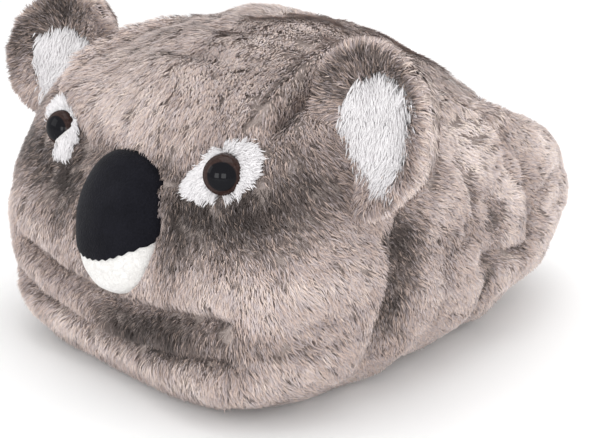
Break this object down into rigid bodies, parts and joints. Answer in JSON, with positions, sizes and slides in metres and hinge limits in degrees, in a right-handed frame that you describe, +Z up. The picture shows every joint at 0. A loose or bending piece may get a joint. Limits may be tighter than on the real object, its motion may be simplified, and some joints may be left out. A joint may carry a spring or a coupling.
{
  "type": "plush foot warmer slipper",
  "caption": "Plush koala-shaped foot warmer: one wide hollow slipper for both feet, with a padded footbed, a collar open at the top, round ears, felt nose and domed eyes.",
  "frame": {"origin": "on the floor, under the middle of the overall box", "axes": "+Z up, the face and toes towards -Y, +X on the wearer's left"},
  "size_m": [0.342, 0.3328, 0.2013],
  "materials": {
    "sole_cloth": "matt woven sole cloth",
    "lining_pile": "short fleece lining",
    "fur": "long grey-brown mottled pile",
    "ear_fur": "long grey-brown mottled pile",
    "white_fur": "long white pile",
    "eye_plastic": "clear gloss over brown and black",
    "nose_felt": "matt black felt",
    "nose_fleece": "smooth off-white fleece"
  },
  "bodies": {
    "root": {"outsole": "sole_cloth", "insole": "lining_pile", "upper": "fur", "ear_left": "ear_fur", "ear_right": "ear_fur", "ear_patch_left": "white_fur", "ear_patch_right": "white_fur", "eye_patch_left": "white_fur", "eye_patch_right": "white_fur", "eye_left": "eye_plastic", "eye_right": "eye_plastic", "nose": "nose_felt", "nose_tip": "nose_fleece"}
  },
  "joints": []
}
